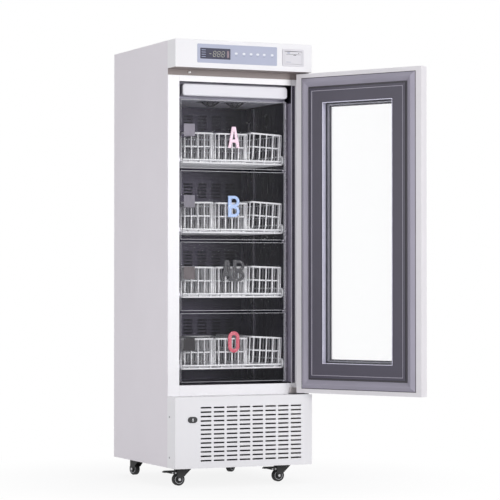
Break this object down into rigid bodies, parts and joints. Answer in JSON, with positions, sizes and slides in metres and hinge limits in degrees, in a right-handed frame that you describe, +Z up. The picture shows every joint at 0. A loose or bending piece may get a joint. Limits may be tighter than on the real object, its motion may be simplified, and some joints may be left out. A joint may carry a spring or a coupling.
{
  "type": "blood bank refrigerator",
  "caption": "Upright refrigerator with a glazed hinged door, sliding wire drawers with clear swinging fronts, a control head with printer, a slotted kick panel and swivel casters.",
  "frame": {"origin": "on the floor, under the middle of the cabinet footprint", "axes": "+X to the right seen from the front, +Y to the back, +Z up"},
  "size_m": [0.9023, 1.1639, 1.778],
  "materials": {
    "shell_white": "satin powder coat",
    "foam": "rigid foam",
    "liner_steel": "polished stainless sheet",
    "frame_white": "gloss",
    "rail_grey": "satin",
    "rail_steel": "brushed",
    "panel_blue": "satin membrane",
    "display_dark": "gloss",
    "printer_grey": "satin",
    "base_grey": "satin",
    "black_plastic": "satin",
    "black_paint": "satin",
    "fin_metal": "satin",
    "hinge_grey": "satin",
    "zinc_steel": "zinc plated",
    "door_white": "satin",
    "door_slate": "satin",
    "gasket_grey": "soft",
    "window_glass": "clear",
    "handle_steel": "brushed",
    "coated_wire": "dip coated",
    "sign_pink": "gloss",
    "sign_blue": "gloss",
    "sign_grey": "gloss",
    "sign_red": "gloss",
    "clear_acrylic": "clear",
    "pull_steel": "brushed",
    "caster_black": "satin",
    "wheel_black": "matt",
    "lock_silver": "polished",
    "plunger_white": "gloss"
  },
  "bodies": {
    "cabinet": {"outer_shell": "shell_white", "back_panel": "shell_white", "insulation": "foam", "inner_liner": "liner_steel", "front_frame": "frame_white", "switch_rail": "rail_grey", "duct_panel": "liner_steel", "drawer_rails": "rail_steel", "evaporator_cover": "liner_steel", "lamp_cover": "frame_white", "head_cover": "shell_white", "control_panel": "panel_blue", "display_window": "display_dark", "printer_body": "printer_grey", "base_plate": "base_grey", "kick_panel": "shell_white", "lock_bezel": "black_plastic", "compressor": "black_paint", "condenser": "fin_metal", "door_hinges": "hinge_grey", "caster_plates": "zinc_steel", "screws": "zinc_steel"},
    "door": {"door_frame": "door_white", "door_liner": "door_slate", "door_gasket": "gasket_grey", "door_glass": "window_glass", "door_handle": "handle_steel"},
    "drawer_1": {"drawer_1": "coated_wire", "sign_a": "sign_pink"},
    "clear_front_1": {"clear_front_1": "clear_acrylic", "front_pull_1": "pull_steel"},
    "drawer_2": {"drawer_2": "coated_wire", "sign_b": "sign_blue"},
    "clear_front_2": {"clear_front_2": "clear_acrylic", "front_pull_2": "pull_steel"},
    "drawer_3": {"drawer_3": "coated_wire", "sign_ab": "sign_grey"},
    "clear_front_3": {"clear_front_3": "clear_acrylic", "front_pull_3": "pull_steel"},
    "drawer_4": {"drawer_4": "coated_wire", "sign_o": "sign_red"},
    "clear_front_4": {"clear_front_4": "clear_acrylic", "front_pull_4": "pull_steel"},
    "caster_1": {"caster_fork_1": "caster_black"},
    "wheel_1": {"caster_wheel_1": "wheel_black"},
    "caster_2": {"caster_fork_2": "caster_black"},
    "wheel_2": {"caster_wheel_2": "wheel_black"},
    "caster_3": {"caster_fork_3": "caster_black"},
    "wheel_3": {"caster_wheel_3": "wheel_black"},
    "caster_4": {"caster_fork_4": "caster_black"},
    "wheel_4": {"caster_wheel_4": "wheel_black"},
    "brake_pedal_1": {"brake_pedal_1": "caster_black"},
    "brake_pedal_2": {"brake_pedal_2": "caster_black"},
    "lock_barrel": {"lock_barrel": "lock_silver"},
    "lock_bolt": {"lock_bolt": "lock_silver"},
    "printer_cover": {"printer_cover": "printer_grey"},
    "switch_plunger": {"switch_plunger": "plunger_white"},
    "evaporator_fan_1": {"evaporator_fan_1": "black_plastic"},
    "evaporator_fan_2": {"evaporator_fan_2": "black_plastic"},
    "condenser_fan": {"condenser_fan": "black_plastic"}
  },
  "joints": [
    {"name": "door_swing", "type": "hinge", "parent": "cabinet", "child": "door", "pos_m": [0.283, -0.3003, 0.358], "axis": [0, 0, 1], "range_deg": [-119, 31]},
    {"name": "drawer_1_slide", "type": "slide", "parent": "cabinet", "child": "drawer_1", "axis": [0, -1, 0], "range_m": [0, 0.33]},
    {"name": "clear_front_1_swing", "type": "hinge", "parent": "drawer_1", "child": "clear_front_1", "pos_m": [0.22405, -0.2295, 1.27125], "axis": [0, 0, 1], "range_deg": [0, 95]},
    {"name": "drawer_2_slide", "type": "slide", "parent": "cabinet", "child": "drawer_2", "axis": [0, -1, 0], "range_m": [0, 0.33]},
    {"name": "clear_front_2_swing", "type": "hinge", "parent": "drawer_2", "child": "clear_front_2", "pos_m": [0.22405, -0.2295, 0.9845], "axis": [0, 0, 1], "range_deg": [0, 95]},
    {"name": "drawer_3_slide", "type": "slide", "parent": "cabinet", "child": "drawer_3", "axis": [0, -1, 0], "range_m": [0, 0.33]},
    {"name": "clear_front_3_swing", "type": "hinge", "parent": "drawer_3", "child": "clear_front_3", "pos_m": [0.22405, -0.2295, 0.69775], "axis": [0, 0, 1], "range_deg": [0, 95]},
    {"name": "drawer_4_slide", "type": "slide", "parent": "cabinet", "child": "drawer_4", "axis": [0, -1, 0], "range_m": [0, 0.33]},
    {"name": "clear_front_4_swing", "type": "hinge", "parent": "drawer_4", "child": "clear_front_4", "pos_m": [0.22405, -0.2295, 0.411], "axis": [0, 0, 1], "range_deg": [0, 95]},
    {"name": "caster_1_swivel", "type": "hinge", "parent": "cabinet", "child": "caster_1", "pos_m": [-0.22, -0.23, 0.07], "axis": [0, 0, 1], "continuous": true},
    {"name": "wheel_1_spin", "type": "hinge", "parent": "caster_1", "child": "wheel_1", "pos_m": [-0.242, -0.23, 0.025], "axis": [0, 1, 0], "continuous": true},
    {"name": "brake_pedal_1_press", "type": "hinge", "parent": "caster_1", "child": "brake_pedal_1", "pos_m": [-0.237, -0.23, 0.0587], "axis": [0, -1, 0], "range_deg": [0, 14]},
    {"name": "caster_2_swivel", "type": "hinge", "parent": "cabinet", "child": "caster_2", "pos_m": [0.22, -0.23, 0.07], "axis": [0, 0, 1], "continuous": true},
    {"name": "wheel_2_spin", "type": "hinge", "parent": "caster_2", "child": "wheel_2", "pos_m": [0.198, -0.23, 0.025], "axis": [0, 1, 0], "continuous": true},
    {"name": "brake_pedal_2_press", "type": "hinge", "parent": "caster_2", "child": "brake_pedal_2", "pos_m": [0.203, -0.23, 0.0587], "axis": [0, -1, 0], "range_deg": [0, 14]},
    {"name": "caster_3_swivel", "type": "hinge", "parent": "cabinet", "child": "caster_3", "pos_m": [-0.22, 0.268, 0.07], "axis": [0, 0, 1], "continuous": true},
    {"name": "wheel_3_spin", "type": "hinge", "parent": "caster_3", "child": "wheel_3", "pos_m": [-0.22569, 0.28925, 0.025], "axis": [0.9659, 0.2588, 0], "continuous": true},
    {"name": "caster_4_swivel", "type": "hinge", "parent": "cabinet", "child": "caster_4", "pos_m": [0.22, 0.268, 0.07], "axis": [0, 0, 1], "continuous": true},
    {"name": "wheel_4_spin", "type": "hinge", "parent": "caster_4", "child": "wheel_4", "pos_m": [0.20198, 0.25538, 0.025], "axis": [-0.5736, 0.8192, 0], "continuous": true},
    {"name": "lock_turn", "type": "hinge", "parent": "cabinet", "child": "lock_barrel", "pos_m": [-0.226, -0.34, 0.268], "axis": [0, -1, 0], "range_deg": [0, 90]},
    {"name": "lock_bolt_slide", "type": "slide", "parent": "cabinet", "child": "lock_bolt", "axis": [0, 0, 1], "range_m": [0, 0.015]},
    {"name": "printer_cover_swing", "type": "hinge", "parent": "cabinet", "child": "printer_cover", "pos_m": [0.215, -0.3425, 1.6999], "axis": [1, 0, 0], "range_deg": [0, 100]},
    {"name": "switch_plunger_press", "type": "slide", "parent": "cabinet", "child": "switch_plunger", "axis": [0, 1, 0], "range_m": [0, 0.01], "stiffness_N_per_m": 150},
    {"name": "evaporator_fan_1_spin", "type": "hinge", "parent": "cabinet", "child": "evaporator_fan_1", "pos_m": [-0.055, -0.12, 1.574], "axis": [0, 0, 1], "continuous": true},
    {"name": "evaporator_fan_2_spin", "type": "hinge", "parent": "cabinet", "child": "evaporator_fan_2", "pos_m": [0.055, -0.12, 1.574], "axis": [0, 0, 1], "continuous": true},
    {"name": "condenser_fan_spin", "type": "hinge", "parent": "cabinet", "child": "condenser_fan", "pos_m": [0.04, -0.1345, 0.178], "axis": [0, 1, 0], "continuous": true}
  ],
  "couplings": [
    {"joint": "lock_turn", "follows": "lock_bolt_slide", "rad_per_m": 104.72}
  ]
}
